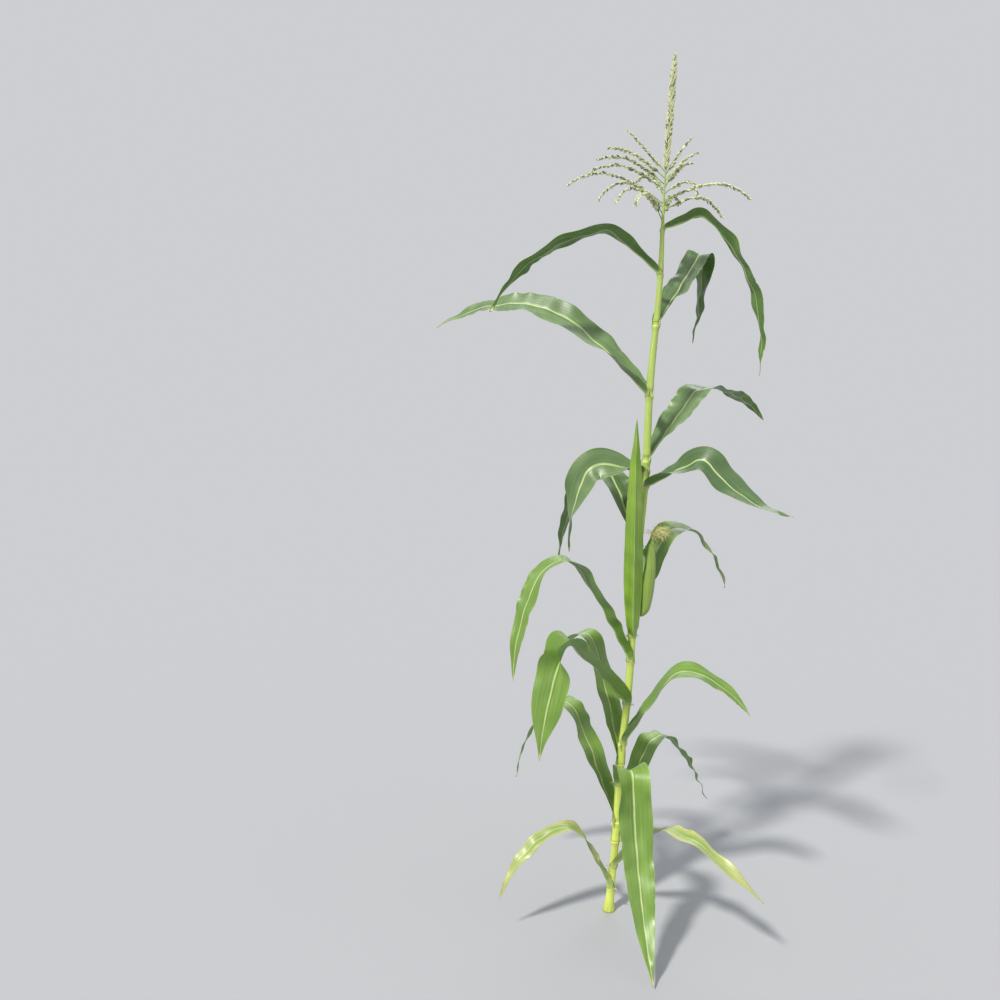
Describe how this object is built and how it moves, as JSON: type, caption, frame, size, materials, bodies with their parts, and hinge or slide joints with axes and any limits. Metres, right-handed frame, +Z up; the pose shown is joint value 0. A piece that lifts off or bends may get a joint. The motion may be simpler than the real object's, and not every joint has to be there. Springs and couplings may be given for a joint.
{
  "type": "maize plant",
  "caption": "Tall maize plant in flower: a slender jointed stem with long arching ribbon leaves, one husked ear with silk and a branched tassel.",
  "frame": {"origin": "middle of the flat cut under the stem, at ground level", "axes": "+Z up along the stem, +X to the right and +Y to the back as the plant is seen from its front"},
  "size_m": [1.0563, 0.7937, 2.4131],
  "materials": {
    "stem": "smooth green stem with sheaths",
    "leaf": "satin leaf with fine veins",
    "husk": "ribbed matt husk",
    "silk": "soft fine threads",
    "tassel": "matt dry spikelets"
  },
  "bodies": {
    "root": {"ear": "husk", "leaf_01_droop": "leaf", "leaf_01_rise": "leaf", "leaf_02_droop": "leaf", "leaf_02_rise": "leaf", "leaf_03_droop": "leaf", "leaf_03_rise": "leaf", "leaf_04_droop": "leaf", "leaf_04_rise": "leaf", "leaf_05_droop": "leaf", "leaf_05_rise": "leaf", "leaf_06_droop": "leaf", "leaf_06_rise": "leaf", "leaf_07_droop": "leaf", "leaf_07_rise": "leaf", "leaf_08_droop": "leaf", "leaf_08_rise": "leaf", "leaf_09_droop": "leaf", "leaf_09_rise": "leaf", "leaf_10": "leaf", "leaf_11_droop": "leaf", "leaf_11_rise": "leaf", "leaf_12_droop": "leaf", "leaf_12_rise": "leaf", "leaf_13_droop": "leaf", "leaf_13_rise": "leaf", "leaf_14_droop": "leaf", "leaf_14_rise": "leaf", "leaf_15_droop": "leaf", "leaf_15_rise": "leaf", "leaf_16_droop": "leaf", "leaf_16_rise": "leaf", "leaf_17_droop": "leaf", "leaf_17_rise": "leaf", "leaf_18_droop": "leaf", "leaf_18_rise": "leaf", "leaf_19_droop": "leaf", "leaf_19_rise": "leaf", "silk": "silk", "stem": "stem", "tassel_01": "tassel", "tassel_02": "tassel", "tassel_03": "tassel", "tassel_04": "tassel", "tassel_05": "tassel", "tassel_06": "tassel", "tassel_07": "tassel", "tassel_08": "tassel", "tassel_09": "tassel", "tassel_10": "tassel", "tassel_11": "tassel", "tassel_12": "tassel", "tassel_13": "tassel", "tassel_14": "tassel", "tassel_15": "tassel", "tassel_16": "tassel", "tassel_spike": "tassel"}
  },
  "joints": []
}
